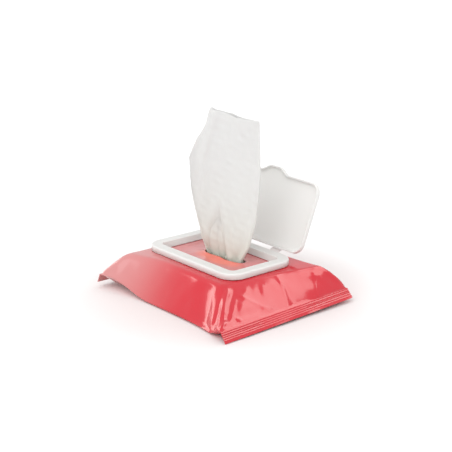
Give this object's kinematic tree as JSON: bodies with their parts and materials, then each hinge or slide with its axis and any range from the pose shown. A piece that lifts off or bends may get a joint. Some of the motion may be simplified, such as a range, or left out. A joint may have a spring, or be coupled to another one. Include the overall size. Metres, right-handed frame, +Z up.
{
  "type": "wet wipes pack",
  "caption": "Flow-wrapped film pouch of interfolded wet wipes with a moulded frame and a hinged flip lid on top, lid open and a wipe pulled up through the slot.",
  "frame": {"origin": "on the surface the pack rests on, under the middle of the object's box", "axes": "+X along the pouch from crimped seal to crimped seal, +Y across it towards the lid's hinge, +Z up"},
  "size_m": [0.1411, 0.115, 0.129],
  "materials": {
    "coral_film": "glossy laminated polyester and polyethylene film",
    "white_plastic": "moulded polypropylene, satin",
    "wet_nonwoven": "damp spunlace nonwoven"
  },
  "bodies": {
    "pack_body": {"film_pouch": "coral_film", "lid_frame": "white_plastic", "hinge_strap_left": "white_plastic", "hinge_strap_right": "white_plastic", "pulled_wipe": "wet_nonwoven", "wipe_01": "wet_nonwoven", "wipe_02": "wet_nonwoven", "wipe_03": "wet_nonwoven", "wipe_04": "wet_nonwoven", "wipe_05": "wet_nonwoven", "wipe_06": "wet_nonwoven", "wipe_07": "wet_nonwoven", "wipe_08": "wet_nonwoven", "wipe_09": "wet_nonwoven", "wipe_10": "wet_nonwoven", "wipe_11": "wet_nonwoven", "wipe_12": "wet_nonwoven", "wipe_13": "wet_nonwoven", "wipe_14": "wet_nonwoven", "wipe_15": "wet_nonwoven", "wipe_16": "wet_nonwoven", "wipe_17": "wet_nonwoven", "wipe_18": "wet_nonwoven"},
    "lid_body": {"lid": "white_plastic"}
  },
  "joints": [
    {"name": "lid_hinge", "type": "hinge", "parent": "pack_body", "child": "lid_body", "pos_m": [-0.0075, 0.03165, 0.0291], "axis": [1, 0, 0], "range_deg": [0, 111.8], "deforming": ["hinge_strap_left", "hinge_strap_right", "pulled_wipe"]}
  ]
}
